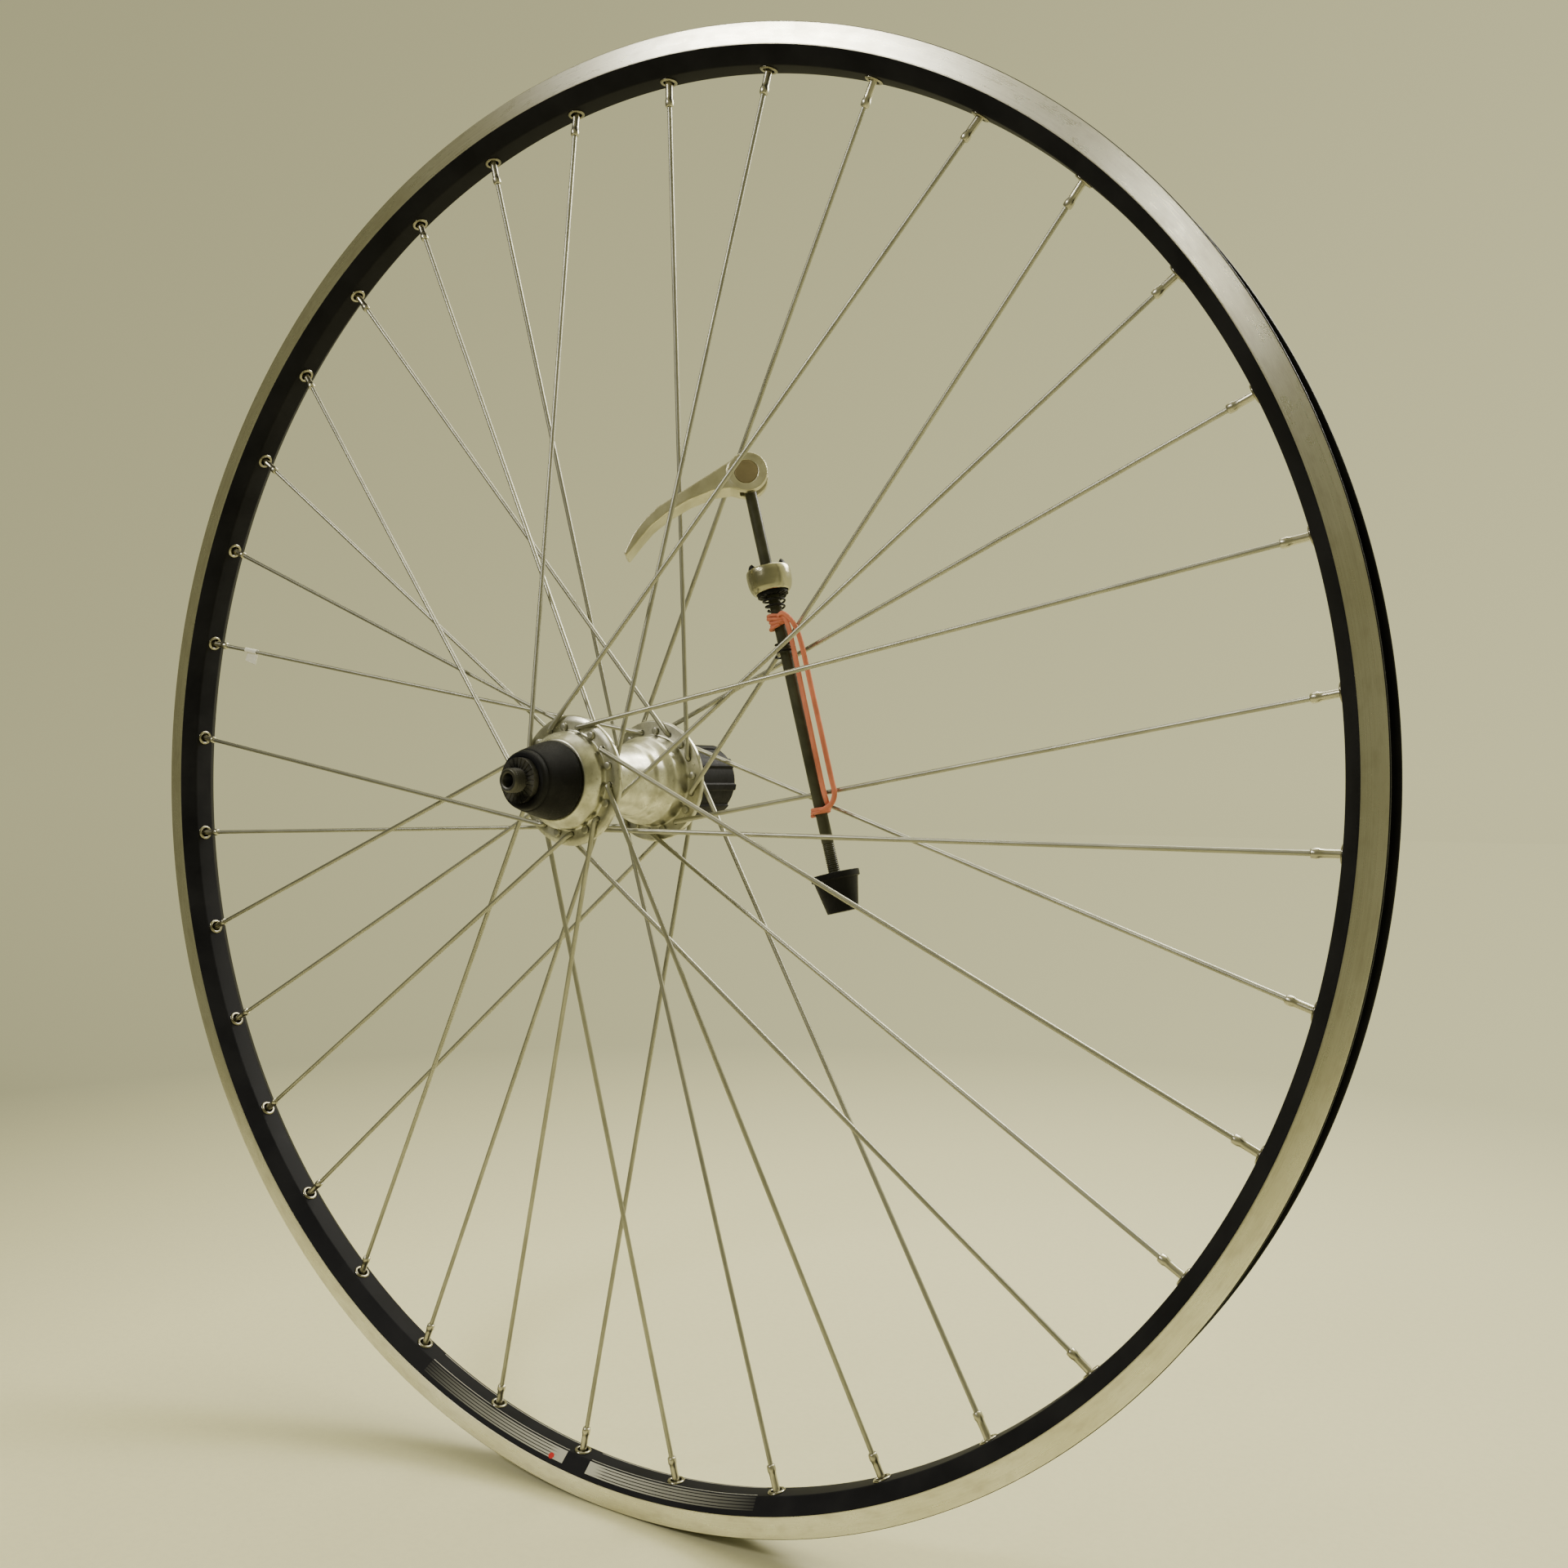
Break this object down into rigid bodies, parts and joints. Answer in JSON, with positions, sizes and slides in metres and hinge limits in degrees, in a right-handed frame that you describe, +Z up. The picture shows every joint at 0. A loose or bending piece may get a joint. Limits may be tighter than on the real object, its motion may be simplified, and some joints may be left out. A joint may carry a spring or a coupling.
{
  "type": "rear bicycle wheel",
  "caption": "Rear bicycle wheel with a spoked alloy rim, a freehub and a quick-release skewer strapped between its spokes.",
  "frame": {"origin": "on the axle, midway between the two locknut faces", "axes": "+Y along the axle towards the freehub (the drive side), +Z up, +X to the right seen from the non-drive side"},
  "size_m": [0.6339, 0.146, 0.634],
  "materials": {
    "rim_alloy": "black anodised, with a brake track machined bright on each side",
    "eyelet_steel": "pressed, nickel plated",
    "nipple_brass": "nickel plated, worn to brass on the edges",
    "spoke_steel": "drawn stainless wire",
    "hub_alloy": "turned and polished",
    "steel": "ground",
    "ball_steel": "polished",
    "black_steel": "black oxide",
    "boot_rubber": "matte",
    "freehub_steel": "black, worn on the splines",
    "rod_steel": "black oxide",
    "pin_bronze": "dull",
    "lever_alloy": "satin, polished on the edges",
    "cup_chrome": "polished",
    "black_plastic": "moulded",
    "insert_nylon": "moulded",
    "spring_steel": "black oxide",
    "band_rubber": "matte",
    "tag_film": "satin"
  },
  "bodies": {
    "axle_set": {"axle": "black_steel", "left_cone": "steel", "left_washer": "steel", "left_spacer": "black_steel", "left_locknut": "black_steel", "left_boot": "boot_rubber", "right_cone": "steel", "right_spacer": "steel", "right_locknut": "black_steel"},
    "left_bearing": {"left_balls": "ball_steel"},
    "right_bearing": {"right_balls": "ball_steel"},
    "wheel": {"rim": "rim_alloy", "rim_sleeve": "steel", "eyelets": "eyelet_steel", "nipples": "nipple_brass", "spokes_left_outer": "spoke_steel", "spokes_left_inner": "spoke_steel", "spokes_right_inner": "spoke_steel", "spokes_right_outer": "spoke_steel", "hub_shell": "hub_alloy", "left_cup": "steel", "left_dust_cap": "steel", "right_cup": "steel", "right_dust_cap": "steel", "freehub_inner": "steel", "freehub_bolt": "steel", "pawl_spring": "steel", "skewer_rod": "rod_steel", "spring_lever_side": "spring_steel", "spring_nut_side": "spring_steel", "rubber_band": "band_rubber", "spoke_tag": "tag_film"},
    "freehub": {"freehub_shell": "freehub_steel"},
    "freehub_bearing": {"freehub_balls_inboard": "ball_steel", "freehub_balls_outboard": "ball_steel"},
    "pawl_a": {"pawl_a": "steel"},
    "pawl_b": {"pawl_b": "steel"},
    "lever": {"lever": "lever_alloy", "cam_pin": "pin_bronze"},
    "cup": {"cup": "cup_chrome", "cup_saddle": "black_plastic", "cup_washer": "black_steel"},
    "nut_carriage": {"nut_insert": "insert_nylon"},
    "nut": {"skewer_nut": "black_plastic"}
  },
  "joints": [
    {"name": "hub_spin", "type": "hinge", "parent": "axle_set", "child": "wheel", "pos_m": [0, 0, 0], "axis": [0, 1, 0], "continuous": true},
    {"name": "left_ball_orbit", "type": "hinge", "parent": "axle_set", "child": "left_bearing", "pos_m": [0, 0, 0], "axis": [0, 1, 0], "continuous": true},
    {"name": "right_ball_orbit", "type": "hinge", "parent": "axle_set", "child": "right_bearing", "pos_m": [0, 0, 0], "axis": [0, 1, 0], "continuous": true},
    {"name": "freehub_spin", "type": "hinge", "parent": "wheel", "child": "freehub", "pos_m": [0, 0, 0], "axis": [0, 1, 0], "continuous": true},
    {"name": "freehub_ball_orbit", "type": "hinge", "parent": "wheel", "child": "freehub_bearing", "pos_m": [0, 0, 0], "axis": [0, 1, 0], "continuous": true},
    {"name": "pawl_a_flick", "type": "hinge", "parent": "wheel", "child": "pawl_a", "pos_m": [0.01098, 0.0345, -0.00221], "axis": [0, 1, 0], "range_deg": [-15, 0], "stiffness_Nm_per_rad": 0.01, "springref_deg": -26.36},
    {"name": "pawl_b_flick", "type": "hinge", "parent": "wheel", "child": "pawl_b", "pos_m": [-0.01098, 0.0345, 0.00221], "axis": [0, 1, 0], "range_deg": [-15, 0], "stiffness_Nm_per_rad": 0.01, "springref_deg": -26.36},
    {"name": "lever_swing", "type": "hinge", "parent": "wheel", "child": "lever", "pos_m": [0.0605, 0.0068, 0.1281], "axis": [-0.532, 0.8385, -0.1176], "range_deg": [0, 75]},
    {"name": "cup_slide", "type": "slide", "parent": "wheel", "child": "cup", "axis": [-0.2419, -0.0175, 0.9701], "range_m": [0, 0.028]},
    {"name": "nut_travel", "type": "slide", "parent": "wheel", "child": "nut_carriage", "axis": [0.2419, 0.0175, -0.9701], "range_m": [-0.0008, 0.0024]},
    {"name": "nut_spin", "type": "hinge", "parent": "nut_carriage", "child": "nut", "pos_m": [0.1038, 0.00992, -0.04556], "axis": [0.2419, 0.0175, -0.9701], "range_deg": [-362, 1082]}
  ],
  "couplings": [
    {"joint": "left_ball_orbit", "follows": "hub_spin", "ratio": 0.6165},
    {"joint": "right_ball_orbit", "follows": "hub_spin", "ratio": 0.6165},
    {"joint": "freehub_ball_orbit", "follows": "freehub_spin", "ratio": 0.5595},
    {"joint": "nut_spin", "follows": "nut_travel", "rad_per_m": 7854}
  ]
}
